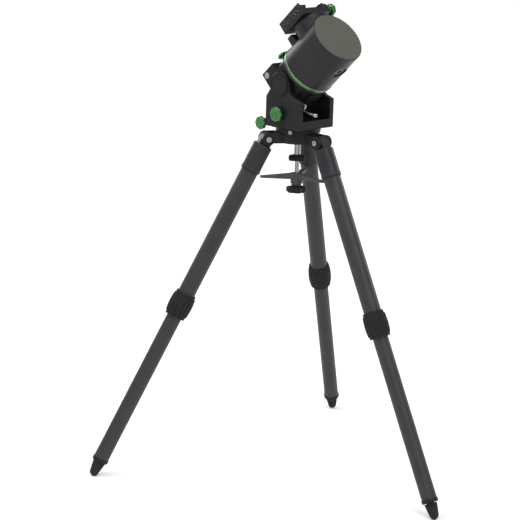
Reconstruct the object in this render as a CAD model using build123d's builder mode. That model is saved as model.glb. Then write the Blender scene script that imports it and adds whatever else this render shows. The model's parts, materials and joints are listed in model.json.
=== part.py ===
from build123d import *
import os
from math import cos, pi, radians, sin, sqrt

# Equatorial mount: a strain-wave head in a tilting yoke, on a folding carbon tripod.
# +Z is up, +Y is north (the way the polar axis leans) and +X is east, in millimetres.
# The origin is on the floor, under the middle of the whole mount's box.

os.makedirs("parts", exist_ok=True)

# ---- driving dimensions: tripod ----
AXIS_Y = -120  # the tripod's axis stands at (0, AXIS_Y)
LEG_AZIMUTHS = {"north": 90, "east": -30, "west": 210}  # degrees from +X
LEG_SPREAD = 26.5  # each leg from the vertical, degrees
HINGE_RADIUS = 76
UPPER_TUBE = (19, 20.75)  # inner and outer radius
LOWER_TUBE = (16.5, 18.25)
SLEEVE_END = 84.5  # these are distances along the leg from its hinge
UPPER_TUBE_END = 448
LOCK_SPAN = (412, 473)
LOWER_TUBE_SPAN = (325, 857)
FERRULE_END = 866.5
FOOT_END = 905.5
FOOT_DOME_RADIUS = 11
HINGE_BOLT_RADIUS = 4
EAR_RADIUS = 15
EAR_INNER, EAR_OUTER = 12, 20.5  # the hub's ears, either side of the leg's plane
SPREADER_Z = 720
SPREADER_REACH = 88
SPREADER_ROOT, SPREADER_TIP = (18, 13), (8, 5)  # width and height of an arm's two ends
ROD_RADIUS = 5.25

# ---- driving dimensions: head, about the altitude pivot ----
LATITUDE = 43.8  # degrees, at rest
PIVOT_ABOVE_HINGE = 128.7
PIVOT_SOUTH = 9.3  # the pivot stands this far south of the tripod's axis
YOKE_BOTTOM = -100
YOKE_REAR, YOKE_FRONT = -43, 67
CHEEK_INNER, CHEEK_OUTER = 45, 58
CHEEK_CREST = 30
FLOOR_TOP = -86
BASE_RADIUS, BASE_HEIGHT = 52.5, 13.3
PEG_Y, SCREW_Z = -60, -98  # azimuth peg, and the two screws that push it
ALTITUDE_SHAFT = (2, -68)  # y and z
LOCK_PIVOT = (58, -45)
TRUNNION_RADIUS = 12
CARRIAGE_HALF_WIDTH = 42
HOUSING_RADIUS = 58
FLANGE_RADIUS = 62
RING_SPAN = (49, 56)  # along the polar axis, from the pivot
RING_RADIUS = 66
HEAD_SPAN = (56.6, 174)
HEAD_RADIUS, HEAD_WALL = 65, 5
DEC_AT = 126.5  # where the declination axis crosses the polar axis
NECK_RADIUS, NECK_TOP = 42.5, 79
SADDLE_SPAN = (80.5, 158.5)
SADDLE_BOTTOM, SADDLE_FLOOR, SADDLE_RIM = 83.5, 99, 108
PANEL = (40, 45.5, 113.5)  # inner x, outer x and top of the port panel
RUN = 0.05  # radial clearance of a running fit
GEAR_TEETH, PINION_TEETH = 58, 10

HINGE_Z = (FOOT_END - FOOT_DOME_RADIUS) * cos(radians(LEG_SPREAD)) + FOOT_DOME_RADIUS
EAST, UP = Vector(1, 0, 0), Vector(0, 0, 1)
TRIPOD = Vector(0, AXIS_Y, 0)
PIVOT = Vector(0, AXIS_Y - PIVOT_SOUTH, HINGE_Z + PIVOT_ABOVE_HINGE)
POLAR = Vector(0, cos(radians(LATITUDE)), sin(radians(LATITUDE)))
DECLINE = Vector(0, -sin(radians(LATITUDE)), cos(radians(LATITUDE)))
HUB_TOP = PIVOT.Z + YOKE_BOTTOM - 0.2 - BASE_HEIGHT - 0.2
HUB_BOTTOM = HUB_TOP - 23


# ---- planes ----
def level(z, centre=TRIPOD):
    """A level plane at height z, centred on a vertical axis."""
    return Plane(origin=(centre.X, centre.Y, z), x_dir=(1, 0, 0), z_dir=(0, 0, 1))


def upright(x=0):
    """The plane at x whose own x and y are y and z from the altitude pivot."""
    return Plane(origin=PIVOT + EAST * x, x_dir=(0, 1, 0), z_dir=(1, 0, 0))


def tilted(x=0):
    """The plane at x whose own x and y run along the polar and declination axes."""
    return Plane(origin=PIVOT + EAST * x, x_dir=POLAR, z_dir=(1, 0, 0))


def across_polar(along):
    """The plane square to the polar axis; its own x is east."""
    return Plane(origin=PIVOT + POLAR * along, x_dir=(1, 0, 0), z_dir=POLAR)


def across_dec(height, at=DEC_AT):
    """The plane square to the declination axis; its own y runs along the polar axis."""
    return Plane(origin=PIVOT + POLAR * at + DECLINE * height, x_dir=(1, 0, 0), z_dir=DECLINE)


def moved(plane, x, y):
    """The same plane with its origin moved within it."""
    return Plane(origin=plane.from_local_coords((x, y)), x_dir=plane.x_dir, z_dir=plane.z_dir)


def save(piece, name):
    piece.part.label = name
    export_step(piece.part, f"parts/{name}.step")


# ---- repeated shapes ----
def disc(plane, radius, height, mode=Mode.ADD):
    """A round boss or bore of a radius on a plane, inside a part block."""
    with BuildSketch(plane) as outline:
        Circle(radius)
    extrude(outline.sketch, amount=height, mode=mode)


def ring(plane, inner, outer, height):
    with BuildSketch(plane) as outline:
        Circle(outer)
        Circle(inner, mode=Mode.SUBTRACT)
    extrude(outline.sketch, amount=height)


def block(plane, low, high, height, mode=Mode.ADD):
    """A rectangle from its low to its high corner on a plane, pushed out by a height."""
    with BuildSketch(plane) as outline:
        with Locations(((low[0] + high[0]) / 2, (low[1] + high[1]) / 2)):
            Rectangle(high[0] - low[0], high[1] - low[1])
    extrude(outline.sketch, amount=height, mode=mode)


def turned(plane, axis, points):
    """A closed outline of radius and distance, turned about an axis."""
    with BuildSketch(plane) as outline:
        with BuildLine():
            Polyline(*points, close=True)
        make_face()
    revolve(outline.sketch, axis=axis)


def star_knob(name, plane, radius, height, lobes, bore, boss_radius, boss_height):
    """A lobed hand knob: its boss starts on the plane and the lobed grip stands on it."""
    with BuildPart() as knob:
        disc(plane, boss_radius, boss_height)
        with BuildSketch(plane.offset(boss_height)):
            Circle(radius * 0.86)
            with PolarLocations(radius * 0.79, lobes):
                Circle(radius * 0.21)
        extrude(amount=height)
        faces = knob.faces().filter_by(GeomType.PLANE).sort_by(Axis(plane.origin, plane.z_dir))
        chamfer(faces[-1].outer_wire().edges(), 1.2)
        disc(plane.offset(boss_height + height), radius * 0.5, -0.8, Mode.SUBTRACT)
        disc(plane, bore, boss_height + height - 3, Mode.SUBTRACT)
    save(knob, name)


# ---- legs ----
class Leg:
    """Directions of one leg: along it, outward from it, and the plane that holds both."""

    def __init__(self, name, azimuth):
        spread = radians(LEG_SPREAD)
        self.name = name
        self.radial = Vector(cos(radians(azimuth)), sin(radians(azimuth)), 0)
        self.hinge = TRIPOD + UP * HINGE_Z + self.radial * HINGE_RADIUS
        self.along = self.radial * sin(spread) - UP * cos(spread)
        self.out = self.radial * cos(spread) + UP * sin(spread)
        self.axis = Axis(self.hinge, self.along)
        self.side = Plane(origin=self.hinge, x_dir=self.out, z_dir=self.out.cross(self.along))
        self.upright = Plane(
            origin=TRIPOD + UP * HINGE_Z, x_dir=self.radial, z_dir=self.radial.cross(UP)
        )

    def across(self, distance):
        return Plane(origin=self.hinge + self.along * distance, x_dir=self.out, z_dir=self.along)

    def tube(self, radii, span):
        ring(self.across(span[0]), radii[0], radii[1], span[1] - span[0])


LEGS = [Leg(name, azimuth) for name, azimuth in LEG_AZIMUTHS.items()]


def leg_knuckle(leg):
    """Casting whose tongue turns in the hub's ears and whose sleeve holds the upper tube."""
    tongue_end, sleeve_start, tube_seat, sleeve_radius = 40, 17.5, 45, 23
    with BuildPart() as knuckle:
        with BuildSketch(leg.side):
            Circle(EAR_RADIUS - 0.5)
            with Locations((0, tongue_end / 2)):
                Rectangle(2 * EAR_RADIUS - 1, tongue_end)
        extrude(amount=EAR_INNER - 0.3, both=True)
        shoulder = [(0, sleeve_start), (sleeve_radius - 1.5, sleeve_start), (sleeve_radius, sleeve_start + 2)]
        lip = [(sleeve_radius, SLEEVE_END - 8), (sleeve_radius + 0.7, SLEEVE_END - 7)]
        rim = [(sleeve_radius + 0.7, SLEEVE_END - 1), (sleeve_radius, SLEEVE_END), (0, SLEEVE_END)]
        turned(leg.side, leg.axis, shoulder + lip + rim)
        disc(leg.across(tube_seat), UPPER_TUBE[1], SLEEVE_END, Mode.SUBTRACT)
        with BuildSketch(leg.side):
            Circle(HINGE_BOLT_RADIUS + RUN)
        extrude(amount=EAR_OUTER, both=True, mode=Mode.SUBTRACT)
    save(knuckle, f"leg_{leg.name}_knuckle")

    with BuildPart() as upper_tube:
        leg.tube(UPPER_TUBE, (tube_seat, UPPER_TUBE_END))
    save(upper_tube, f"leg_{leg.name}_upper_tube")


def leg_lock(leg):
    """Twist lock: a ribbed barrel that turns on a collet fixed to the upper tube."""
    collet_radius, collet_start, collet_end = 23.5, 420, 464.5
    with BuildPart() as collet:
        guide = LOWER_TUBE[1] + RUN
        cup = [(UPPER_TUBE[1], collet_start), (collet_radius, collet_start)]
        nose = [(collet_radius, collet_end - 2), (collet_radius - 2, collet_end), (guide, collet_end)]
        seat = [(guide, UPPER_TUBE_END), (UPPER_TUBE[1], UPPER_TUBE_END)]
        turned(leg.side, leg.axis, cup + nose + seat)
    save(collet, f"leg_{leg.name}_lock_collet")

    end_radius, belly_radius, edge = 25.4, 28.5, 1.5
    rib_count, rib_length, rib_width, rib_depth = 14, 44, 3.6, 1.3
    start, end = LOCK_SPAN
    middle = (start + end) / 2
    with BuildPart() as barrel:
        with BuildSketch(leg.side):
            with BuildLine():
                Line((21.3, start), (end_radius - 1, start))
                Line((end_radius - 1, start), (end_radius, start + edge))
                ThreePointArc(
                    (end_radius, start + edge), (belly_radius, middle), (end_radius, end - edge)
                )
                Line((end_radius, end - edge), (end_radius - 1, end))
                Polyline(
                    (end_radius - 1, end),
                    (LOWER_TUBE[1] + 0.5, end),
                    (LOWER_TUBE[1] + 0.5, end - 7),
                    (collet_radius + RUN, end - 7),
                    (collet_radius + RUN, start + 7),
                    (21.3, start + 7),
                    (21.3, start),
                )
            make_face()
        revolve(axis=leg.axis)
        grooves = []
        for index in range(rib_count):
            angle = 2 * pi * index / rib_count
            outward = leg.out * cos(angle) + leg.out.cross(leg.along) * sin(angle)
            origin = leg.hinge + leg.along * middle + outward * (belly_radius - rib_depth)
            grooves.append(Plane(origin=origin, x_dir=leg.along, z_dir=outward))
        with BuildSketch(*grooves):
            SlotOverall(rib_length, rib_width)
        extrude(amount=4, mode=Mode.SUBTRACT)
    save(barrel, f"leg_{leg.name}_twist_lock")


def leg_lower(leg):
    """Lower tube with a glide ring on its top, an aluminium ferrule and a rubber foot."""
    glide_length, collar_radius, neck_radius, neck_end = 12, 19.6, 9, FERRULE_END + 12
    inner, outer = LOWER_TUBE
    with BuildPart() as lower_tube:
        leg.tube(LOWER_TUBE, LOWER_TUBE_SPAN)
        leg.tube((inner, UPPER_TUBE[0] - RUN), (LOWER_TUBE_SPAN[0], LOWER_TUBE_SPAN[0] + glide_length))
    save(lower_tube, f"leg_{leg.name}_lower_tube")

    tube_end = LOWER_TUBE_SPAN[1]
    with BuildPart() as ferrule:
        spigot = [(0, tube_end - 16), (inner, tube_end - 16), (inner, tube_end)]
        collar = [(collar_radius - 0.6, tube_end), (collar_radius, tube_end + 1)]
        rim = [(collar_radius, FERRULE_END - 1.2), (collar_radius - 1, FERRULE_END)]
        neck = [(neck_radius, FERRULE_END), (neck_radius, neck_end), (0, neck_end)]
        turned(leg.side, leg.axis, spigot + collar + rim + neck)
    save(ferrule, f"leg_{leg.name}_ferrule")

    foot_top, foot_radius = FERRULE_END + 2, 15.5
    dome = FOOT_END - FOOT_DOME_RADIUS
    with BuildPart() as foot:
        with BuildSketch(leg.side):
            with BuildLine():
                Polyline(
                    (0, neck_end),
                    (neck_radius, neck_end),
                    (neck_radius, foot_top),
                    (foot_radius - 1, foot_top),
                    (foot_radius, foot_top + 1),
                    (FOOT_DOME_RADIUS, dome),
                )
                quarter = FOOT_DOME_RADIUS * sin(pi / 4)
                ThreePointArc((FOOT_DOME_RADIUS, dome), (quarter, dome + quarter), (0, FOOT_END))
                Line((0, FOOT_END), (0, neck_end))
            make_face()
        revolve(axis=leg.axis)
    save(foot, f"leg_{leg.name}_foot")


for one_leg in LEGS:
    leg_knuckle(one_leg)
    leg_lock(one_leg)
    leg_lower(one_leg)

# ---- hub and the pieces under it ----
HUB_RADIUS = 50
EAR_TOP, EAR_BOTTOM = 14.7, -9.5  # of the straight part of an ear, from the hinge
BOLT_RADIUS = 4.9
SHAFT_RADIUS = 8
WING_TOP, WING_HEIGHT = 772, 15
SHOULDER_Z = HUB_BOTTOM + 10
KNOB_SEAT = 698  # underside of the washer that the spreader stands on
SPREADER_HUB = (703, 727)
SPREADER_KNOB_HEIGHT = 16.5

with BuildPart() as tripod_hub:
    disc(level(HUB_BOTTOM), HUB_RADIUS, HUB_TOP - HUB_BOTTOM)
    for leg in LEGS:
        with BuildSketch(leg.upright):
            with Locations((HINGE_RADIUS, 0)):
                Circle(EAR_RADIUS)
            with Locations((HINGE_RADIUS - 18, (EAR_TOP + EAR_BOTTOM) / 2)):
                Rectangle(36, EAR_TOP - EAR_BOTTOM)
        extrude(amount=EAR_OUTER, both=True)
    for leg in LEGS:
        slot_start = HINGE_RADIUS - EAR_RADIUS - 3
        with BuildSketch(leg.upright):
            with Locations((slot_start + 25, 0)):
                Rectangle(50, 60)
        extrude(amount=EAR_INNER, both=True, mode=Mode.SUBTRACT)
        with BuildSketch(leg.upright):
            with Locations((HINGE_RADIUS, 0)):
                Circle(HINGE_BOLT_RADIUS)
        extrude(amount=EAR_OUTER, both=True, mode=Mode.SUBTRACT)
    disc(level(HUB_BOTTOM), 36, SHOULDER_Z - HUB_BOTTOM, Mode.SUBTRACT)
    disc(level(HUB_BOTTOM), BOLT_RADIUS + 0.1, 30, Mode.SUBTRACT)
save(tripod_hub, "tripod_hub")

AXIS_LINE = Axis(TRIPOD, UP)
AXIS_PLANE = Plane(origin=TRIPOD, x_dir=(1, 0, 0), z_dir=(0, -1, 0))

with BuildPart() as centre_bolt:
    thread_top = HUB_TOP + 9
    rod_end = KNOB_SEAT - SPREADER_KNOB_HEIGHT + 4
    thread = [(0, thread_top), (BOLT_RADIUS - 1, thread_top), (BOLT_RADIUS, thread_top - 1)]
    shoulder = [(BOLT_RADIUS, SHOULDER_Z - 0.2), (SHAFT_RADIUS, SHOULDER_Z - 0.2)]
    journal = [(SHAFT_RADIUS, WING_TOP + 0.2), (6, WING_TOP + 0.2), (6, WING_TOP - WING_HEIGHT)]
    rod = [(ROD_RADIUS, WING_TOP - WING_HEIGHT), (ROD_RADIUS, rod_end), (0, rod_end)]
    turned(AXIS_PLANE, AXIS_LINE, thread + shoulder + journal + rod)
save(centre_bolt, "centre_bolt")

with BuildPart() as wing_knob:
    with BuildSketch(level(WING_TOP - WING_HEIGHT)):
        Circle(11.5)
        with PolarLocations(13.5, 2, start_angle=135):
            Circle(7)
    extrude(amount=WING_HEIGHT - 3)
    disc(level(WING_TOP - 3), 10, 3)
    ends = wing_knob.faces().filter_by(Plane.XY).sort_by(Axis.Z)
    chamfer(ends[0].outer_wire().edges(), 1.5)
    disc(level(WING_TOP - WING_HEIGHT), 6 + RUN, WING_HEIGHT, Mode.SUBTRACT)
save(wing_knob, "wing_knob")

with BuildPart() as leg_spreader:
    low, high = SPREADER_HUB
    disc(level(low), 14, high - low)
    for leg in LEGS:
        middle = TRIPOD + UP * SPREADER_Z
        root = Plane(origin=middle + leg.radial * 8, x_dir=leg.radial.cross(UP), z_dir=leg.radial)
        with BuildSketch(root):
            Rectangle(*SPREADER_ROOT)
        with BuildSketch(root.offset(SPREADER_REACH - 8)):
            Rectangle(*SPREADER_TIP)
        loft()
    disc(level(low), ROD_RADIUS + RUN, high - low, Mode.SUBTRACT)
save(leg_spreader, "leg_spreader")

with BuildPart() as spreader_washer:
    ring(level(KNOB_SEAT), ROD_RADIUS + RUN, 12, SPREADER_HUB[0] - KNOB_SEAT - 0.2)
save(spreader_washer, "spreader_washer")

with BuildPart() as spreader_knob:
    grip_height = SPREADER_KNOB_HEIGHT - 4
    with BuildSketch(level(KNOB_SEAT - 0.2 - SPREADER_KNOB_HEIGHT)):
        Circle(20)
        with PolarLocations(19, 6):
            Circle(5)
    extrude(amount=grip_height)
    ends = spreader_knob.faces().filter_by(Plane.XY).sort_by(Axis.Z)
    chamfer(ends[0].outer_wire().edges() + ends[-1].outer_wire().edges(), 1.5)
    disc(level(KNOB_SEAT - 0.2 - 4), 10, 4)
    disc(level(KNOB_SEAT - 0.2), ROD_RADIUS + RUN, -SPREADER_KNOB_HEIGHT + 2, Mode.SUBTRACT)
save(spreader_knob, "spreader_knob")

# ---- azimuth base ----
BASE_BOTTOM = PIVOT.Z + YOKE_BOTTOM - 0.2 - BASE_HEIGHT
PEG_RADIUS = 5
SPIGOT_RADIUS = 16
LOCK_SCREW_AZIMUTHS = (25, 155)

with BuildPart() as azimuth_base:
    disc(level(BASE_BOTTOM), BASE_RADIUS, BASE_HEIGHT)
    rims = azimuth_base.edges().filter_by(GeomType.CIRCLE).sort_by(Axis.Z)
    chamfer(rims, 0.8)
    disc(level(BASE_BOTTOM + BASE_HEIGHT), SPIGOT_RADIUS, FLOOR_TOP - YOKE_BOTTOM)
    arm_end = PEG_Y - PIVOT_SOUTH - 8
    block(level(BASE_BOTTOM), (-9, arm_end), (9, -40), 7)
    peg_centre = Vector(0, PIVOT.Y + PEG_Y, 0)
    disc(level(BASE_BOTTOM, peg_centre), PEG_RADIUS, PIVOT.Z + SCREW_Z + 8 - BASE_BOTTOM)
    disc(level(BASE_BOTTOM), BOLT_RADIUS + 0.1, 11, Mode.SUBTRACT)
    for azimuth in LOCK_SCREW_AZIMUTHS:
        outward = Vector(cos(radians(azimuth)), sin(radians(azimuth)), 0)
        seat = TRIPOD + UP * (BASE_BOTTOM + 5) + outward * BASE_RADIUS
        disc(Plane(origin=seat, z_dir=outward), 2.5, -14, Mode.SUBTRACT)
save(azimuth_base, "azimuth_base")

with BuildPart() as tripod_fasteners:
    for leg in LEGS:
        with BuildSketch(leg.side):
            Circle(HINGE_BOLT_RADIUS)
        extrude(amount=EAR_OUTER, both=True)
        for way in (1, -1):
            face = leg.side.offset(way * EAR_OUTER)
            disc(face, 6.3, way * 3.6)
            with BuildSketch(face.offset(way * 3.6)):
                RegularPolygon(3, 6)
            extrude(amount=-way * 2.2, mode=Mode.SUBTRACT)
    for azimuth in LOCK_SCREW_AZIMUTHS:
        outward = Vector(cos(radians(azimuth)), sin(radians(azimuth)), 0)
        seat = TRIPOD + UP * (BASE_BOTTOM + 5) + outward * BASE_RADIUS
        screw = Plane(origin=seat, z_dir=outward)
        disc(screw, 2.5, -14)
        disc(screw, 4.6, 3.4)
        with BuildSketch(screw.offset(3.4)):
            RegularPolygon(2.2, 6)
        extrude(amount=-1.8, mode=Mode.SUBTRACT)
save(tripod_fasteners, "tripod_fasteners")

# ---- yoke ----
SHAFT_R = 6
LUG_SPAN = (24, 36)
SCREW_RADIUS = 4
STUD_RADIUS = 3.9

with BuildPart() as yoke:
    with BuildSketch(upright(CHEEK_INNER)):
        with BuildLine():
            Polyline(
                (YOKE_FRONT, -33),
                (YOKE_FRONT, YOKE_BOTTOM),
                (YOKE_REAR, YOKE_BOTTOM),
                (YOKE_REAR, -31),
                (-28.4, -9.7),
            )
            ThreePointArc((-28.4, -9.7), (0, CHEEK_CREST), (29.4, -6))
            ThreePointArc((29.4, -6), (37, -20), (52, -28))
            Line((52, -28), (YOKE_FRONT, -33))
        make_face()
    extrude(amount=CHEEK_OUTER - CHEEK_INNER)
    chamfer(yoke.faces().sort_by(Axis.X)[-1].outer_wire().edges(), 1.3)
    mirror(about=Plane.YZ)
    centre = Vector(0, PIVOT.Y, 0)
    ground = level(PIVOT.Z + YOKE_BOTTOM, centre)
    block(ground, (-CHEEK_INNER, YOKE_REAR), (CHEEK_INNER, YOKE_FRONT), FLOOR_TOP - YOKE_BOTTOM)
    block(ground, (-CHEEK_INNER, YOKE_FRONT - 10), (CHEEK_INNER, YOKE_FRONT), 20)
    block(ground, (-CHEEK_INNER, YOKE_REAR), (CHEEK_INNER, YOKE_REAR + 8), 38)
    for way in (1, -1):
        near, far = sorted((way * LUG_SPAN[0], way * LUG_SPAN[1]))
        lug = level(PIVOT.Z + SCREW_Z - 8, centre)
        block(lug, (near, PEG_Y - 9), (far, YOKE_REAR), 16)
        screw_line = moved(upright(way * 20), PEG_Y, SCREW_Z)
        disc(screw_line, SCREW_RADIUS + RUN, way * 20, Mode.SUBTRACT)
        boss = upright(way * CHEEK_INNER)
        disc(moved(boss, *LOCK_PIVOT), 11, way * -2.5)
        disc(boss, TRUNNION_RADIUS + RUN, way * 20, Mode.SUBTRACT)
    disc(moved(upright(40), *LOCK_PIVOT), STUD_RADIUS, 14, Mode.SUBTRACT)
    disc(moved(upright(-52), *ALTITUDE_SHAFT), SHAFT_R + RUN, 120, Mode.SUBTRACT)
    disc(level(PIVOT.Z + YOKE_BOTTOM), SPIGOT_RADIUS + RUN, 20, Mode.SUBTRACT)
save(yoke, "yoke")

with BuildPart() as pivot_covers:
    for way in (1, -1):
        face = upright(way * CHEEK_OUTER)
        disc(face, 27, way * 2.6)
        with BuildSketch(face.offset(way * 2.6)):
            Circle(24)
            Circle(22.6, mode=Mode.SUBTRACT)
        extrude(amount=way * -0.7, mode=Mode.SUBTRACT)
save(pivot_covers, "pivot_covers")

# ---- azimuth screws and their knobs ----
AZIMUTH_KNOB_X = 46.5
for side, way in (("east", 1), ("west", -1)):
    start = moved(upright(way * (PEG_RADIUS + 0.3)), PEG_Y, SCREW_Z)
    screw_axis = Plane(origin=start.origin, x_dir=(0, 1, 0), z_dir=(way, 0, 0))
    with BuildPart() as azimuth_screw:
        disc(screw_axis, SCREW_RADIUS - 1, 2)
        disc(screw_axis.offset(2), SCREW_RADIUS, AZIMUTH_KNOB_X + 8 - PEG_RADIUS - 2)
    save(azimuth_screw, f"azimuth_screw_{side}")
    star_knob(f"azimuth_knob_{side}", screw_axis.offset(AZIMUTH_KNOB_X - PEG_RADIUS - 0.3),
              16, 10.5, 8, SCREW_RADIUS + RUN, 8, 3)

# ---- altitude drive: pinion shaft, knob and lock ----
centre_distance = sqrt(ALTITUDE_SHAFT[0] ** 2 + ALTITUDE_SHAFT[1] ** 2)
MODULE = 2 * centre_distance / (GEAR_TEETH + PINION_TEETH)
GEAR_HALF_WIDTH = 5
SHAFT_ANGLE = -90 + Vector(0, 1, 0).get_angle(Vector(ALTITUDE_SHAFT[0], -ALTITUDE_SHAFT[1], 0))


def tooth(pitch_radius, tip, root, half_pitch_width, tip_slope, root_slope):
    """One gear tooth pointing along +X, as a closed outline."""
    half_tip = half_pitch_width - tip * tip_slope
    half_root = half_pitch_width + root * root_slope
    top, bottom = pitch_radius + tip, pitch_radius - root
    Polyline((bottom, -half_root), (pitch_radius, -half_pitch_width), (top, -half_tip),
             (top, half_tip), (pitch_radius, half_pitch_width), (bottom, half_root), close=True)


shaft_plane = moved(upright(), *ALTITUDE_SHAFT)
with BuildPart() as altitude_shaft:
    disc(shaft_plane.offset(-52), SHAFT_R, 52 + CHEEK_OUTER + 10)
    pinion_radius = MODULE * PINION_TEETH / 2
    gear_face = shaft_plane.offset(-GEAR_HALF_WIDTH - 1)
    disc(gear_face, pinion_radius - 0.95 * MODULE, 2 * GEAR_HALF_WIDTH + 2)
    with BuildSketch(gear_face):
        for index in range(PINION_TEETH):
            with BuildLine(Plane.XY.rotated((0, 0, SHAFT_ANGLE + 180 + 360 * (index + 0.5) / PINION_TEETH))):
                tooth(pinion_radius, 0.75 * MODULE, MODULE, MODULE * pi / 4 - 0.18, 0.5, 0.05)
            make_face()
    extrude(amount=2 * GEAR_HALF_WIDTH + 2)
save(altitude_shaft, "altitude_shaft")

star_knob("altitude_knob", shaft_plane.offset(CHEEK_OUTER + 0.4), 18, 10, 8, SHAFT_R, 10, 3.2)

LEVER_X = 37.6
lever_plane = upright(LEVER_X)
with BuildPart() as lock_lever:
    hub_plane = moved(lever_plane, *LOCK_PIVOT)
    disc(hub_plane.offset(-4.5), 8, 9)
    with BuildLine(lever_plane) as handle:
        FilletPolyline((58, -50), (61, -56.5), (74, -57.5), (96, -59.5), radius=3)
    with BuildSketch(Plane(origin=handle.line @ 0, z_dir=handle.line % 0)):
        Circle(3)
    sweep()
    with Locations(lever_plane.from_local_coords((99, -59.8))):
        Sphere(6)
    disc(hub_plane.offset(-5), STUD_RADIUS + RUN, 10, Mode.SUBTRACT)
save(lock_lever, "lock_lever")

with BuildPart() as lock_stud:
    disc(hub_plane.offset(-4.7), STUD_RADIUS, 4.7 + 54 - LEVER_X)
    disc(hub_plane.offset(-4.7), 5, -2.8)
    with BuildSketch(hub_plane.offset(-7.5)):
        RegularPolygon(2.4, 6)
    extrude(amount=1.6, mode=Mode.SUBTRACT)
save(lock_stud, "lock_stud")

# ---- carriage: the tilting body that holds the polar drive ----
BLOCK = (-44, 2, -32, 60)  # along the polar axis from and to, then bottom and top
PIN_AT = (-34, 50)
PIN_RADIUS = 8.5
DRIVE_RADIUS, DRIVE_FLANGE_RADIUS, DRIVE_BACK = 38, 50, 12.5
MOTOR_BACK, CAVITY_RADIUS = -38, 30
SPIGOT_R = 25.95
CLAMP_AT = (-1, 5)  # x, and along the polar axis

with BuildPart() as carriage:
    rear, front, bottom, top = BLOCK
    wide = CARRIAGE_HALF_WIDTH
    block(tilted(-wide), (rear, bottom), (front, top), 2 * wide)
    chamfer(carriage.edges().filter_by(Axis.X), 1.5)
    with BuildSketch(across_polar(front)):
        Circle(HOUSING_RADIUS)
        Rectangle(2 * wide, 4 * wide, mode=Mode.INTERSECT)
    extrude(amount=40 - front)
    disc(across_polar(40), FLANGE_RADIUS, RING_SPAN[0] - 40)
    chamfer(carriage.edges().filter_by(GeomType.CIRCLE).group_by(SortBy.RADIUS)[-1], 1)
    block(tilted(-20), (9, -HOUSING_RADIUS - 2.5), (31, -HOUSING_RADIUS + 6), 40)
    with BuildSketch(across_dec(-HOUSING_RADIUS - 2.5, 20)):
        with GridLocations(4, 1, 8, 1):
            Rectangle(1.8, 16)
    extrude(amount=0.8, mode=Mode.SUBTRACT)
    disc(across_polar(rear + 4), CAVITY_RADIUS, 60, Mode.SUBTRACT)
    disc(across_polar(DRIVE_BACK), DRIVE_RADIUS, 60, Mode.SUBTRACT)
    disc(across_polar(41), DRIVE_FLANGE_RADIUS, 10, Mode.SUBTRACT)
    pin_line = moved(tilted(-wide), *PIN_AT)
    disc(pin_line, PIN_RADIUS, 2 * wide, Mode.SUBTRACT)
    for way in (1, -1):
        disc(tilted(way * 33), TRUNNION_RADIUS, way * 20, Mode.SUBTRACT)
    clamp_plane = moved(across_dec(top, CLAMP_AT[1]), CLAMP_AT[0], 0)
    disc(clamp_plane, 4 + RUN, -14, Mode.SUBTRACT)
save(carriage, "carriage")

with BuildPart() as trunnions:
    for way in (1, -1):
        disc(tilted(way * 33), TRUNNION_RADIUS, way * (CHEEK_OUTER - 33 - 0.3))
save(trunnions, "trunnions")

with BuildPart() as polar_ring:
    ring(across_polar(RING_SPAN[0]), DRIVE_FLANGE_RADIUS + 1, RING_RADIUS, RING_SPAN[1] - RING_SPAN[0])
    chamfer(polar_ring.edges().filter_by(GeomType.CIRCLE).group_by(SortBy.RADIUS)[-1], 1.2)
save(polar_ring, "polar_ring")

with BuildPart() as cross_pin:
    disc(pin_line.offset(0.5), PIN_RADIUS, 2 * wide - 1)
    chamfer(cross_pin.edges().filter_by(GeomType.CIRCLE), 1)
save(cross_pin, "cross_pin")

SECTOR_SPAN = (-166, -104)  # degrees about the pivot, from the polar axis
with BuildPart() as sector_gear:
    gear_radius = MODULE * GEAR_TEETH / 2
    sector_face = tilted(-GEAR_HALF_WIDTH)
    with BuildSketch(sector_face):
        Circle(gear_radius - 0.95 * MODULE)
        Circle(gear_radius - 14, mode=Mode.SUBTRACT)
        with BuildLine():
            reach = 90
            first, last = (radians(angle) for angle in SECTOR_SPAN)
            Polyline((0, 0), (reach * cos(first), reach * sin(first)),
                     (-reach, -reach), (reach * cos(last), reach * sin(last)), close=True)
        make_face(mode=Mode.INTERSECT)
        pitch = 360 / GEAR_TEETH
        mesh_angle = SHAFT_ANGLE - LATITUDE
        for index in range(-10, 11):
            angle = mesh_angle + index * pitch
            if SECTOR_SPAN[0] + 2 < angle < SECTOR_SPAN[1] - 2:
                with BuildLine(Plane.XY.rotated((0, 0, angle))):
                    tooth(gear_radius, 0.75 * MODULE, MODULE, MODULE * pi / 4 - 0.18, 0.36, 0.36)
                make_face()
    extrude(amount=2 * GEAR_HALF_WIDTH)
    block(tilted(-wide), (BLOCK[0], BLOCK[2]), (BLOCK[1] + 60, BLOCK[3]), 2 * wide, Mode.SUBTRACT)
save(sector_gear, "sector_gear")

with BuildPart() as clamp_stud:
    disc(clamp_plane.offset(-13), 4, 13 + 15.5)
save(clamp_stud, "clamp_stud")
star_knob("clamp_knob", clamp_plane.offset(0.3), 13.5, 7, 7, 4 + RUN, 6.5, 12)

with BuildPart() as polar_drive:
    ring(across_polar(DRIVE_BACK), SPIGOT_R + RUN, DRIVE_RADIUS, 41 - DRIVE_BACK)
    ring(across_polar(41), SPIGOT_R + RUN, DRIVE_FLANGE_RADIUS, 6)
save(polar_drive, "polar_drive")

with BuildPart() as polar_motor:
    disc(across_polar(MOTOR_BACK), 25, DRIVE_BACK - 6 - MOTOR_BACK)
    disc(across_polar(DRIVE_BACK - 6), CAVITY_RADIUS, 6)
save(polar_motor, "polar_motor")

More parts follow.
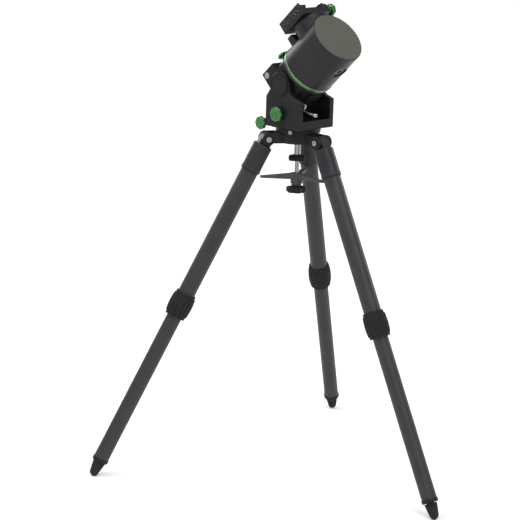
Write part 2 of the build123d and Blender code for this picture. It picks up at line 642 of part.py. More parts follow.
# ---- head: the body that turns about the polar axis ----
SOCKET_FLOOR = -62
SOCKET_RADIUS = 16
INSERT_RADIUS, INSERT_BORE, INSERT_END = 12, 5.1, -46
HUMP = ((8, 70), (36, 88))
HUMP_TOP = 78.4
DEC_BORE = 34
DEC_SPIGOT = 19.95
DEC_BACK = 42

with BuildPart() as head_shell:
    disc(across_polar(HEAD_SPAN[0]), HEAD_RADIUS, HEAD_SPAN[1] - HEAD_SPAN[0])
    chamfer(head_shell.edges().filter_by(GeomType.CIRCLE), 0.8)
    with BuildSketch(across_dec(50, 0)):
        with Locations(((HUMP[0][0] + HUMP[1][0]) / 2, (HUMP[0][1] + HUMP[1][1]) / 2)):
            RectangleRounded(HUMP[1][0] - HUMP[0][0], HUMP[1][1] - HUMP[0][1], 5)
    extrude(amount=HUMP_TOP - 50)
    chamfer(head_shell.faces().sort_by(Axis(PIVOT, DECLINE))[-1].outer_wire().edges(), 2.5)
    disc(across_polar(HEAD_SPAN[0] + 6), HEAD_RADIUS - HEAD_WALL, 200, Mode.SUBTRACT)
    disc(across_polar(HEAD_SPAN[1] - 4.5), HEAD_RADIUS - 1.7, 10, Mode.SUBTRACT)
    disc(across_polar(DRIVE_BACK + 2), SPIGOT_R, HEAD_SPAN[0] - DRIVE_BACK)
    ring(across_dec(DEC_BACK), DEC_BORE, NECK_RADIUS, NECK_TOP - DEC_BACK)
    disc(across_dec(DEC_BACK), DEC_BORE, 60, Mode.SUBTRACT)
    disc(across_dec(INSERT_END), 20, 1 - HEAD_RADIUS - INSERT_END)
    disc(across_dec(-HEAD_RADIUS - 1), SOCKET_RADIUS, HEAD_RADIUS + 1 + SOCKET_FLOOR, Mode.SUBTRACT)
    disc(across_dec(SOCKET_FLOOR), INSERT_RADIUS, 20, Mode.SUBTRACT)
save(head_shell, "head_shell")

with BuildPart() as end_cap:
    disc(across_polar(HEAD_SPAN[1] - 4.5), HEAD_RADIUS - 1.7, 5.3)
    chamfer(end_cap.edges().filter_by(GeomType.CIRCLE), 0.7)
save(end_cap, "end_cap")

with BuildPart() as counterweight_insert:
    ring(across_dec(SOCKET_FLOOR), INSERT_BORE, INSERT_RADIUS, INSERT_END - SOCKET_FLOOR)
save(counterweight_insert, "counterweight_insert")

with BuildPart() as dec_drive:
    ring(across_dec(DEC_BACK), DEC_SPIGOT + RUN, DEC_BORE, NECK_TOP - DEC_BACK - 1)
save(dec_drive, "dec_drive")

with BuildPart() as dec_motor:
    disc(across_dec(DEC_BACK), DEC_BORE, -5)
    disc(across_dec(DEC_BACK - 5), 24, -55)
save(dec_motor, "dec_motor")

# ---- saddle: the body that turns about the declination axis ----
JAW_TRAVEL = 8
SCREW_HEIGHT = 94
LAND = (-19.5, 21.5, 0.6)  # the plate's resting face: its two sides, and its height over the floor
KNOB_ALONG = {"north": 148, "south": 91}
CLAMP_SCREW_RADIUS = 3
JAW_OUTER = -46

with BuildPart() as saddle:
    start, end = SADDLE_SPAN
    lower_floor = SADDLE_FLOOR - LAND[2]
    with BuildSketch(across_polar(start)):
        with BuildLine():
            Polyline(
                (JAW_OUTER, -SADDLE_BOTTOM), (PANEL[0], -SADDLE_BOTTOM), (PANEL[0], -lower_floor),
                (LAND[1], -lower_floor),
                (LAND[1], -SADDLE_FLOOR), (LAND[0], -SADDLE_FLOOR), (LAND[0], -lower_floor),
                (-26, -lower_floor), (-26, -SADDLE_FLOOR + 10), (JAW_OUTER, -SADDLE_FLOOR + 10),
                close=True,
            )
        make_face()
    extrude(amount=end - start)
    disc(across_dec(SADDLE_BOTTOM), 30, -(SADDLE_BOTTOM - NECK_TOP - 0.3))
    disc(across_dec(DEC_BACK + 2), DEC_SPIGOT, SADDLE_BOTTOM - DEC_BACK)
    for along in KNOB_ALONG.values():
        disc(moved(tilted(-26), along, SCREW_HEIGHT), CLAMP_SCREW_RADIUS + RUN, 32, Mode.SUBTRACT)
save(saddle, "saddle")

with BuildPart() as saddle_rib:
    with BuildSketch(across_polar(start)):
        with BuildLine():
            Polyline((26, -lower_floor), (PANEL[0], -lower_floor), (PANEL[0], -SADDLE_RIM),
                     (22, -SADDLE_RIM), close=True)
        make_face()
    extrude(amount=end - start)
save(saddle_rib, "saddle_rib")

SOCKETS = ((92, 6.5, 9), (110, 10, 4))  # rectangular ports: along, then width and height
ROUND_SOCKETS = (131, 142.5)
PORT_HEIGHT = 98.5
with BuildPart() as port_panel:
    block(tilted(PANEL[0]), (SADDLE_SPAN[0], SADDLE_BOTTOM), (SADDLE_SPAN[1], PANEL[2]),
          PANEL[1] - PANEL[0])
    chamfer(port_panel.faces().sort_by(Axis.X)[-1].outer_wire().edges(), 1)
    with BuildSketch(tilted(PANEL[1])):
        for along, width, height in SOCKETS:
            with Locations((along, PORT_HEIGHT)):
                Rectangle(width, height)
        for along in ROUND_SOCKETS:
            with Locations((along, PORT_HEIGHT)):
                Circle(4)
    extrude(amount=-4.5, mode=Mode.SUBTRACT)
save(port_panel, "port_panel")

with BuildPart() as panel_sockets:
    floor = tilted(PANEL[1] - 4.5)
    with BuildSketch(floor):
        for along, width, height in SOCKETS:
            with Locations((along, PORT_HEIGHT)):
                Rectangle(width, height)
                Rectangle(width - 2, height - 2, mode=Mode.SUBTRACT)
                Rectangle(width - 4.5, height - 3.2)
        for along in ROUND_SOCKETS:
            with Locations((along, PORT_HEIGHT)):
                Circle(4)
                Circle(2.8, mode=Mode.SUBTRACT)
                Circle(1.1)
    extrude(amount=3.6)
    with BuildSketch(floor):
        for along, width, height in SOCKETS:
            with Locations((along, PORT_HEIGHT)):
                Rectangle(width, height)
        for along in ROUND_SOCKETS:
            with Locations((along, PORT_HEIGHT)):
                Circle(4)
    extrude(amount=1)
save(panel_sockets, "panel_sockets")

with BuildPart() as saddle_jaw:
    with BuildSketch(across_polar(start)):
        with BuildLine():
            seat = -SADDLE_FLOOR + 9.7
            Polyline(
                (JAW_OUTER, seat), (-26.3, seat), (-26.3, -SADDLE_FLOOR - 0.3),
                (-24, -SADDLE_FLOOR - 0.3), (-20, -106), (-41, -106), (JAW_OUTER, -102), close=True,
            )
        make_face()
    extrude(amount=end - start)
    for along in KNOB_ALONG.values():
        screw_line = moved(tilted(JAW_OUTER), along, SCREW_HEIGHT)
        disc(screw_line, CLAMP_SCREW_RADIUS + RUN, 32, Mode.SUBTRACT)
    disc(moved(across_dec(106, 0), -36, 153), 3, 6)
    chamfer(saddle_jaw.edges().filter_by(GeomType.CIRCLE).sort_by(Axis(PIVOT, DECLINE))[-1], 1.5)
save(saddle_jaw, "saddle_jaw")

for side, along in KNOB_ALONG.items():
    seat = moved(tilted(JAW_OUTER - 0.3), along, SCREW_HEIGHT)
    knob_plane = Plane(origin=seat.origin, x_dir=POLAR, z_dir=(-1, 0, 0))
    with BuildPart() as saddle_knob:
        disc(knob_plane, 7, 7)
        with BuildSketch(knob_plane.offset(7)):
            Circle(15 * 0.86)
            with PolarLocations(15 * 0.79, 7):
                Circle(15 * 0.21)
        extrude(amount=12)
        ends = saddle_knob.faces().filter_by(Plane.YZ).sort_by(Axis.X)
        chamfer(ends[0].outer_wire().edges(), 1.2)
        disc(knob_plane, CLAMP_SCREW_RADIUS, -44)
    save(saddle_knob, f"saddle_knob_{side}")
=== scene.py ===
import bmesh
import bpy
import json
from math import cos, pi, radians, sin, sqrt, tau
from mathutils import Matrix, Vector


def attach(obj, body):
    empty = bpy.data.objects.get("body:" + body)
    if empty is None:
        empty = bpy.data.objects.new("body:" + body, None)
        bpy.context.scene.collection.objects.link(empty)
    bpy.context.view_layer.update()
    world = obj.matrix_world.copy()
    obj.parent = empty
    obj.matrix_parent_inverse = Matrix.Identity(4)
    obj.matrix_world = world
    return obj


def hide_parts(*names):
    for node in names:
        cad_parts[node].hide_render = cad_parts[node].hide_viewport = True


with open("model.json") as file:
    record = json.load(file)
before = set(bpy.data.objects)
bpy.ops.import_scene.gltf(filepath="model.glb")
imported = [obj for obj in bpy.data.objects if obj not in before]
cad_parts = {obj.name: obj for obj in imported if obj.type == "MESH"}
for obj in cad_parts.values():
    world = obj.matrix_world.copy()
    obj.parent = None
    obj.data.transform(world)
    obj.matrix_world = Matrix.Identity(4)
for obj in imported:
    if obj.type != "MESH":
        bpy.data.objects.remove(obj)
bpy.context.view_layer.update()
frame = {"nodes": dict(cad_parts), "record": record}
NODES = frame["nodes"]

# Sizes shared with the CAD, in millimetres.
MM = 0.001
EAST, UP = Vector((1, 0, 0)), Vector((0, 0, 1))
LATITUDE = radians(43.8)
LEG_SPREAD = radians(26.5)
AXIS_Y = -120
HINGE_RADIUS = 76
UPPER_TUBE_RADIUS, LOWER_TUBE_RADIUS = 20.75, 18.25
BARREL_RADIUS = 65.0
DEC_AT, NECK_RADIUS = 126.5, 42.5
PANEL_FACE, PANEL_MIDDLE = 45.5, 98.5
TOE_AT, TOE_RADIUS = 894.5, 11
HINGE_Z = TOE_AT * cos(LEG_SPREAD) + TOE_RADIUS
TRIPOD = Vector((0, AXIS_Y, 0))
PIVOT = Vector((0, AXIS_Y - 9.3, HINGE_Z + 128.7))
POLAR = Vector((0, cos(LATITUDE), sin(LATITUDE)))
DECLINE = Vector((0, -sin(LATITUDE), cos(LATITUDE)))
LEGS = {"north": 90, "east": -30, "west": 210}


# ---- frames that pieces are drawn in, in millimetres ----
def basis(origin, x, z):
    """A matrix from a local frame in millimetres to the scene in metres."""
    z = z.normalized()
    x = (x - z * x.dot(z)).normalized()
    y = z.cross(x)
    turn = Matrix((x, y, z)).transposed().to_4x4()
    return Matrix.Translation(origin * MM) @ turn @ Matrix.Scale(MM, 4)


def head_point(x, polar, dec):
    """A point given east, along the polar axis and along the declination axis from the pivot."""
    return PIVOT + EAST * x + POLAR * polar + DECLINE * dec


def yoke_point(x, y, z):
    """A point given east, north and up from the altitude pivot."""
    return PIVOT + Vector((x, y, z))


def leg_directions(azimuth):
    """A leg's hinge point, the direction down the leg, and the direction square to it, outwards."""
    radial = Vector((cos(radians(azimuth)), sin(radians(azimuth)), 0))
    hinge = TRIPOD + UP * HINGE_Z + radial * HINGE_RADIUS
    along = radial * sin(LEG_SPREAD) - UP * cos(LEG_SPREAD)
    out = radial * cos(LEG_SPREAD) + UP * sin(LEG_SPREAD)
    return hinge, along, out


# ---- mesh helpers ----
def new_piece(name, bm, matrix, material, body, smooth_angle=35):
    """Makes an object from a bmesh drawn in millimetres, and rides it on its body."""
    bmesh.ops.recalc_face_normals(bm, faces=bm.faces)
    bm.transform(matrix)
    mesh = bpy.data.meshes.new(name)
    bm.to_mesh(mesh)
    bm.free()
    piece = bpy.data.objects.new(name, mesh)
    bpy.context.scene.collection.objects.link(piece)
    mesh.materials.append(material)
    mesh.set_sharp_from_angle(angle=radians(smooth_angle))
    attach(piece, body)
    return piece


def merge(bm, part, matrix):
    """Places a part drawn on its own, adds it to bm, and frees it."""
    part.transform(matrix)
    mesh = bpy.data.meshes.new("part")
    part.to_mesh(mesh)
    part.free()
    bm.from_mesh(mesh)
    bpy.data.meshes.remove(mesh)


def lathe(bm, profile, segments=64, radius_at=None):
    """Turns a closed profile of (radius, height) about z; radius_at shapes each ring."""
    rings = []
    for radius, height in profile:
        if radius <= 1e-6:
            rings.append([bm.verts.new((0, 0, height))])
            continue
        ring = []
        for index in range(segments):
            angle = tau * index / segments
            grown = radius_at(angle, radius, height) if radius_at else radius
            ring.append(bm.verts.new((grown * cos(angle), grown * sin(angle), height)))
        rings.append(ring)
    closed = rings + [rings[0]]
    for lower, upper in zip(closed, closed[1:]):
        if len(lower) == 1 and len(upper) == 1:
            continue
        for index in range(segments):
            after = (index + 1) % segments
            if len(lower) == 1:
                bm.faces.new((lower[0], upper[after], upper[index]))
            elif len(upper) == 1:
                bm.faces.new((lower[index], lower[after], upper[0]))
            else:
                bm.faces.new((lower[index], lower[after], upper[after], upper[index]))


def rounded(points, radius=0.6, steps=3):
    """Rounds the corners of a closed profile."""
    rounded_points = []
    count = len(points)
    for index in range(count):
        here = Vector(points[index])
        before = Vector(points[index - 1]) - here
        after = Vector(points[(index + 1) % count]) - here
        if here.x <= 1e-6 or before.length < 1e-6 or after.length < 1e-6:
            rounded_points.append(tuple(here))
            continue
        reach = min(radius, before.length * 0.45, after.length * 0.45)
        start = here + before.normalized() * reach
        end = here + after.normalized() * reach
        for step in range(steps + 1):
            t = step / steps
            point = start * (1 - t) ** 2 + here * 2 * t * (1 - t) + end * t * t
            rounded_points.append(tuple(point))
    return rounded_points


# ---- materials ----
def node(tree, kind, **settings):
    made = tree.nodes.new(kind)
    for key, value in settings.items():
        setattr(made, key, value)
    return made


def ramp(tree, source, stops):
    """A colour ramp of (position, grey or colour) stops."""
    made = node(tree, "ShaderNodeValToRGB")
    elements = made.color_ramp.elements
    while len(elements) < len(stops):
        elements.new(0.5)
    for element, (position, colour) in zip(elements, stops):
        element.position = position
        shade = (colour,) * 3 if isinstance(colour, (int, float)) else colour
        element.color = (*shade, 1)
    tree.links.new(source, made.inputs[0])
    return made.outputs[0]


def noise(tree, coordinates, scale, detail=3, roughness=0.55):
    made = node(tree, "ShaderNodeTexNoise")
    made.inputs["Scale"].default_value = scale
    made.inputs["Detail"].default_value = detail
    made.inputs["Roughness"].default_value = roughness
    tree.links.new(coordinates, made.inputs["Vector"])
    return made.outputs[0]


def mix(tree, factor, low, high):
    """Mixes two colours, each a socket or a colour, by a factor socket."""
    made = node(tree, "ShaderNodeMix", data_type="RGBA")
    tree.links.new(factor, made.inputs[0])
    for socket, value in ((made.inputs[6], low), (made.inputs[7], high)):
        if isinstance(value, (tuple, list)):
            socket.default_value = (*value, 1)
        else:
            tree.links.new(value, socket)
    return made.outputs[2]


def maths(tree, operation, first, second=None):
    made = node(tree, "ShaderNodeMath", operation=operation)
    for socket, value in zip(made.inputs, (first, second)):
        if value is None:
            continue
        if isinstance(value, (int, float)):
            socket.default_value = value
        else:
            tree.links.new(value, socket)
    return made.outputs[0]


def surface(name, metallic=0.0, specular=0.5, coat=0.0, coat_roughness=0.1, roughness=0.5):
    material = bpy.data.materials.new(name)
    material.use_nodes = True
    tree = material.node_tree
    shader = tree.nodes["Principled BSDF"]
    shader.inputs["Metallic"].default_value = metallic
    shader.inputs["Roughness"].default_value = roughness
    shader.inputs["Specular IOR Level"].default_value = specular
    shader.inputs["Coat Weight"].default_value = coat
    shader.inputs["Coat Roughness"].default_value = coat_roughness
    coordinates = node(tree, "ShaderNodeTexCoord").outputs["Object"]
    return material, tree, shader, coordinates


def bump(tree, shader, height, strength, distance, soften=0.0):
    made = node(tree, "ShaderNodeBump")
    made.inputs["Strength"].default_value = strength
    made.inputs["Distance"].default_value = distance
    tree.links.new(height, made.inputs["Height"])
    if soften:
        edge = node(tree, "ShaderNodeBevel", samples=4)
        edge.inputs["Radius"].default_value = soften
        tree.links.new(edge.outputs[0], made.inputs["Normal"])
    tree.links.new(made.outputs[0], shader.inputs["Normal"])


def edge_mask(tree, radius):
    """0 on flat faces, rising to 1 along edges, from a bevelled normal."""
    edge = node(tree, "ShaderNodeBevel", samples=4)
    edge.inputs["Radius"].default_value = radius
    geometry = node(tree, "ShaderNodeNewGeometry")
    dot = node(tree, "ShaderNodeVectorMath", operation="DOT_PRODUCT")
    tree.links.new(edge.outputs[0], dot.inputs[0])
    tree.links.new(geometry.outputs["Normal"], dot.inputs[1])
    return ramp(tree, dot.outputs["Value"], ((0.86, 1.0), (0.985, 0.0)))


def roughen(tree, shader, texture, roughness):
    """Lets a texture move the roughness between two values."""
    low, high = roughness
    tree.links.new(ramp(tree, texture, ((0.3, low), (0.7, high))), shader.inputs["Roughness"])


def scaled(shade, factor):
    return tuple(channel * factor for channel in shade)


def satin_paint(name, shade, worn, grain=900, roughness=(0.36, 0.46), clouding=0.12):
    """Powder-coated casting: fine grain, soft cloudiness and edges rubbed lighter."""
    material, tree, shader, coordinates = surface(name, specular=0.16)
    cloud = noise(tree, coordinates, 18, 2)
    speck = noise(tree, coordinates, grain, 2)
    cloudy = ramp(tree, cloud, ((0.35, 0.0), (0.65, 1.0)))
    body = mix(tree, cloudy, scaled(shade, 1 - clouding), scaled(shade, 1 + clouding))
    patches = ramp(tree, noise(tree, coordinates, 160), ((0.35, 0.25), (0.65, 0.9)))
    rub = maths(tree, "MULTIPLY", edge_mask(tree, 0.0007), patches)
    tree.links.new(mix(tree, rub, body, worn), shader.inputs["Base Color"])
    roughen(tree, shader, speck, roughness)
    bump(tree, shader, speck, 0.22, 0.00012, 0.0006)
    return material


def machined(name, shade, roughness=(0.2, 0.34)):
    """Turned and polished metal with fine rings of tool marks."""
    material, tree, shader, coordinates = surface(name, metallic=1.0)
    stretch = node(tree, "ShaderNodeMapping")
    stretch.inputs["Scale"].default_value = (60, 60, 900)
    tree.links.new(coordinates, stretch.inputs["Vector"])
    marks = noise(tree, stretch.outputs[0], 1.6, 2)
    smudge = noise(tree, coordinates, 60, 2)
    smudged = ramp(tree, smudge, ((0.35, 0.0), (0.7, 1.0)))
    tree.links.new(mix(tree, smudged, shade, scaled(shade, 0.82)), shader.inputs["Base Color"])
    roughen(tree, shader, marks, roughness)
    bump(tree, shader, marks, 0.08, 0.00005, 0.0004)
    return material


def anodised(name, shade, edge_highlight):
    """Coloured anodised aluminium, with a painted highlight along its edges."""
    material, tree, shader, coordinates = surface(name, metallic=0.75, coat=0.25, coat_roughness=0.2)
    cloud = noise(tree, coordinates, 90, 2)
    speck = noise(tree, coordinates, 1500, 2)
    body = mix(tree, ramp(tree, cloud, ((0.35, 0.0), (0.65, 1.0))), scaled(shade, 0.85), shade)
    # edge_highlight is a lighter green painted along every edge: a painted highlight
    tree.links.new(mix(tree, edge_mask(tree, 0.0006), body, edge_highlight), shader.inputs["Base Color"])
    roughen(tree, shader, speck, (0.24, 0.34))
    bump(tree, shader, speck, 0.1, 0.00006, 0.0005)
    return material


def moulded(name, shade, grain=1100, roughness=(0.55, 0.72), depth=0.0002):
    """Rubber or moulded plastic with a fine stipple."""
    material, tree, shader, coordinates = surface(name, specular=0.2)
    speck = noise(tree, coordinates, grain, 3, 0.7)
    dust = noise(tree, coordinates, 45, 3)
    dusty = ramp(tree, dust, ((0.42, 0.0), (0.75, 1.0)))
    tree.links.new(mix(tree, dusty, shade, scaled(shade, 1.45)), shader.inputs["Base Color"])
    roughen(tree, shader, speck, roughness)
    bump(tree, shader, speck, 0.35, depth, 0.0005)
    return material


def carbon_twill(name, hinge, along, out, radius, tow=1.7):
    """Two-by-two twill of carbon tows wrapped round one leg's tube, under a satin resin; tows of one
    direction are painted lighter than the others, a painted sheen.
    """
    material, tree, shader, coordinates = surface(name, specular=0.2, coat=0.08, coat_roughness=0.3)
    side = along.cross(out)
    from_hinge = node(tree, "ShaderNodeVectorMath", operation="SUBTRACT")
    from_hinge.inputs[1].default_value = hinge * MM
    tree.links.new(coordinates, from_hinge.inputs[0])

    def component(direction):
        dot = node(tree, "ShaderNodeVectorMath", operation="DOT_PRODUCT")
        dot.inputs[1].default_value = direction
        tree.links.new(from_hinge.outputs[0], dot.inputs[0])
        return dot.outputs["Value"]

    turns = maths(tree, "ARCTAN2", component(side), component(out))
    cells = round(tau * radius / tow / 4) * 4
    around = maths(tree, "MULTIPLY", turns, cells / tau)
    down = maths(tree, "MULTIPLY", component(along), 1 / (tow * MM))
    around_cell = maths(tree, "FLOOR", around)
    down_cell = maths(tree, "FLOOR", down)
    order = maths(tree, "FLOORED_MODULO", maths(tree, "ADD", around_cell, down_cell), 4)
    lengthwise = maths(tree, "LESS_THAN", order, 1.5)
    across_tow = maths(tree, "ABSOLUTE", maths(tree, "SUBTRACT", maths(tree, "FRACT", around), 0.5))
    along_tow = maths(tree, "ABSOLUTE", maths(tree, "SUBTRACT", maths(tree, "FRACT", down), 0.5))
    off_middle = node(tree, "ShaderNodeMix", data_type="FLOAT")
    for socket, value in ((0, lengthwise), (2, along_tow), (3, across_tow)):
        tree.links.new(value, off_middle.inputs[socket])
    half_width = maths(tree, "MULTIPLY", off_middle.outputs[0], 2.0)
    height = maths(tree, "SUBTRACT", 1.0, maths(tree, "POWER", half_width, 2.0))
    # Tows of one direction are painted lighter than the others: a painted sheen.
    weft_sheen, warp_sheen = (0.018, 0.018, 0.0195), (0.036, 0.036, 0.039)
    woven_sheen = mix(tree, lengthwise, weft_sheen, warp_sheen)
    cloud = noise(tree, coordinates, 30, 3)
    resin, valley = (0.052, 0.052, 0.053), (0.016, 0.016, 0.017)
    shaded = mix(tree, ramp(tree, cloud, ((0.3, 0.0), (0.8, 0.35))), woven_sheen, resin)
    finished = mix(tree, ramp(tree, height, ((0.0, 1.0), (0.35, 0.0))), shaded, valley)
    tree.links.new(finished, shader.inputs["Base Color"])
    tree.links.new(ramp(tree, height, ((0.0, 0.6), (1.0, 0.42))), shader.inputs["Roughness"])
    bump(tree, shader, height, 0.25, 0.00012)
    return material


# Each paint: its colour, its colour where an edge is rubbed, its grain and its roughness; the anodised ones
# take their colour and a lighter green painted along edges as a painted highlight.
BLACK = satin_paint("black_powder_coat", (0.0105, 0.0105, 0.0115), (0.05, 0.05, 0.052))
HEAD_BLACK = satin_paint("head_satin_black", (0.0165, 0.0168, 0.0185), (0.07, 0.07, 0.074), 1300, (0.32, 0.4))
SLEEVE_BLACK = satin_paint("sleeve_satin_black", (0.0235, 0.0232, 0.0268), (0.08, 0.08, 0.085), 1100,
                           (0.36, 0.44))
OLIVE = satin_paint("olive_end_cap", (0.078, 0.082, 0.07), (0.14, 0.145, 0.13), 1300, (0.42, 0.5),
                    clouding=0.04)
STEEL = machined("machined_steel", (0.36, 0.355, 0.34))
DARK_STEEL = machined("blackened_steel", (0.055, 0.055, 0.058), (0.3, 0.42))
BEZEL = machined("bezel_steel", (0.17, 0.17, 0.175), (0.34, 0.46))
GREEN = anodised("green_anodised", (0.040, 0.175, 0.046), (0.14, 0.36, 0.16))
RING_GREEN = anodised("ring_green", (0.045, 0.14, 0.038), (0.17, 0.34, 0.15))
# A lighter green for the band along the polar ring's front edge: a painted highlight of its chamfer.
RING_HIGHLIGHT_GREEN = anodised("ring_highlight_green", (0.34, 0.56, 0.30), (0.5, 0.7, 0.46))
PLASTIC = moulded("black_plastic", (0.0095, 0.0095, 0.010))
RUBBER = moulded("black_rubber", (0.0105, 0.0105, 0.0115), 700, (0.62, 0.8), 0.0003)
GRIP = satin_paint("grip_rubber", (0.0105, 0.0105, 0.0115), (0.11, 0.11, 0.115), 700, (0.6, 0.75))
SPREADER = satin_paint("spreader_grey", (0.055, 0.055, 0.055), (0.15, 0.15, 0.15), 900, (0.4, 0.5))

BY_SLOT = {
    "black_paint": BLACK, "olive_paint": OLIVE, "silver_steel": STEEL, "green_anodised": GREEN,
    "black_plastic": PLASTIC, "black_rubber": RUBBER, "carbon": PLASTIC,
}
SLOT_OF = {part["node"]: part["material_slot"] for part in frame["record"]["subparts"]}


def paint(name, material):
    """Gives a CAD node a material of its own."""
    made = NODES[name]
    made.data.materials.clear()
    made.data.materials.append(material)


for part_name in NODES:
    paint(part_name, BY_SLOT[SLOT_OF[part_name]])
for leg_name, azimuth in LEGS.items():
    hinge, along, out = leg_directions(azimuth)
    for end, radius in (("upper", UPPER_TUBE_RADIUS), ("lower", LOWER_TUBE_RADIUS)):
        twill = carbon_twill(f"carbon_{leg_name}_{end}", hinge, along, out, radius)
        paint(f"leg_{leg_name}_{end}_tube", twill)
    paint(f"leg_{leg_name}_knuckle", SLEEVE_BLACK)
for part_name in ("head_shell", "saddle", "saddle_rib", "saddle_jaw", "port_panel"):
    paint(part_name, HEAD_BLACK)
paint("polar_ring", RING_GREEN)
paint("leg_spreader", SPREADER)
paint("counterweight_insert", DARK_STEEL)
paint("spreader_washer", DARK_STEEL)


# ---- pieces in mesh code ----
def hexagon(angle, across):
    """Radius of a hexagon of half its width across flats, at an angle."""
    sector = (angle % (tau / 6)) - tau / 12
    return across / cos(sector)


def cap_screw(bm, matrix, radius, height, socket=0.5, steps=36):
    """A socket-head screw standing on a plane of a local frame in millimetres."""
    depth = height * 0.6
    across = radius * socket
    chamfer = 0.35
    outer = [(radius, 0), (radius, height - chamfer), (radius - chamfer, height)]
    profile = [(0, 0)] + outer + [(across, height), (across, height - depth), (0, height - depth)]
    screw = bmesh.new()
    lathe(screw, profile, steps, lambda angle, r, z: hexagon(angle, r) if r == across else r)
    merge(bm, screw, matrix)


def place(x, y, z=0.0, direction=None):
    """A local placement for a small part, along +z unless a direction is given."""
    matrix = Matrix.Translation((x, y, z))
    if direction:
        matrix = matrix @ Vector(direction).to_track_quat("Z", "Y").to_matrix().to_4x4()
    return matrix


def prism(bm, outer, low, high, inner=None):
    """A straight-sided solid over an outline, with a hole of as many corners if one is given."""
    count = len(outer)
    rings = [[bm.verts.new((x, y, z)) for x, y in outer] for z in (low, high)]
    if inner:
        rings += [[bm.verts.new((x, y, z)) for x, y in inner] for z in (high, low)]
        rings.append(rings[0])
    for lower, upper in zip(rings, rings[1:]):
        for index in range(count):
            after = (index + 1) % count
            bm.faces.new((lower[index], lower[after], upper[after], upper[index]))
    if not inner:
        bm.faces.new(reversed(rings[0]))
        bm.faces.new(rings[1])


def rectangle(x, y, width, height, corner=0.0, steps=4):
    """The outline of a rectangle about (x, y), with rounded corners."""
    outline = []
    for quarter, (sx, sy) in enumerate(((1, 1), (-1, 1), (-1, -1), (1, -1))):
        cx, cy = x + sx * (width / 2 - corner), y + sy * (height / 2 - corner)
        for step in range(steps + 1):
            angle = (quarter + step / steps) * pi / 2
            outline.append((cx + corner * cos(angle), cy + corner * sin(angle)))
    return outline


def tube(bm, points, radii, segments=24):
    """A round bar through points, each with its own radius, closed at both ends."""
    rings = []
    previous = None
    for index, (point, radius) in enumerate(zip(points, radii)):
        ahead = points[min(index + 1, len(points) - 1)] - points[max(index - 1, 0)]
        ahead.normalize()
        side = previous if previous else ahead.orthogonal()
        side = (side - ahead * side.dot(ahead)).normalized()
        previous = side
        other = ahead.cross(side)
        turns = [tau * step / segments for step in range(segments)]
        rings.append([bm.verts.new(point + (side * cos(t) + other * sin(t)) * radius) for t in turns])
    for lower, upper in zip(rings, rings[1:]):
        for index in range(segments):
            after = (index + 1) % segments
            bm.faces.new((lower[index], lower[after], upper[after], upper[index]))
    bm.faces.new(reversed(rings[0]))
    bm.faces.new(rings[-1])


def lobes(count, depth, radius, sharpness=1.6):
    """Scallops cut into a knob's rim, fading out towards its middle."""
    def shape(angle, r, height):
        valley = (0.5 - 0.5 * cos(count * angle)) ** sharpness
        share = max(0.0, min(1.0, (r / radius - 0.55) / 0.3))
        return r * (1 - depth * valley * share)
    return shape


def knob_profile(radius, base, height, boss, bore):
    """Half-section of a hand knob: a boss, a waisted grip and a dished face."""
    top = base + height
    dish, button, floor = top - 0.9, top - 0.3, top - 3
    return rounded([
        (bore, 0), (boss, 0), (boss, base), (radius * 0.8, base), (radius, base + height * 0.22),
        (radius, top - height * 0.2), (radius * 0.9, top), (radius * 0.56, top), (radius * 0.5, dish),
        (radius * 0.2, dish), (radius * 0.16, button), (0, button), (0, floor), (bore, floor),
    ], 1.0, 4)


def star_knob(name, node_name, body, matrix, profile, count, radius):
    """A green hand knob of so many lobes, which stands for its CAD node."""
    bm = bmesh.new()
    lathe(bm, profile, count * 12, lobes(count, 0.085, radius))
    knob = new_piece(name, bm, matrix, GREEN, body, 50)
    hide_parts(node_name)


def build_head_knobs():
    star_knob("altitude_star_knob", "altitude_knob", "altitude_shaft",
              basis(yoke_point(58.4, 2, -68), UP, EAST), knob_profile(18, 3.2, 10, 10, 6), 8, 18)
    for side, way in (("east", 1), ("west", -1)):
        star_knob(f"azimuth_star_knob_{side}", f"azimuth_knob_{side}", f"azimuth_knob_{side}",
                  basis(yoke_point(way * 46.5, -60, -98), UP, EAST * way),
                  knob_profile(16, 3, 10.5, 8, 4.05), 8, 16)
    star_knob("clamp_star_knob", "clamp_knob", "clamp_knob",
              basis(head_point(-1, 5, 60.3), EAST, DECLINE), knob_profile(13.5, 12, 7, 6.5, 4.05), 7, 13.5)
    radius, base, height = 15, 7, 12
    top = base + height
    dish = top - 0.9
    with_screw = rounded([
        (0, -44), (2.4, -44), (3, -43), (3, 0), (7, 0), (7, base), (radius * 0.8, base),
        (radius, base + height * 0.2), (radius, top - height * 0.2), (radius * 0.9, top),
        (radius * 0.56, top), (radius * 0.5, dish), (radius * 0.2, dish), (0, top - 0.6),
    ], 1.0, 4)
    for side, along in (("north", 148), ("south", 91)):
        star_knob(f"saddle_star_knob_{side}", f"saddle_knob_{side}", f"saddle_knob_{side}",
                  basis(head_point(-46.3, along, 94), POLAR, -EAST), with_screw, 7, radius)


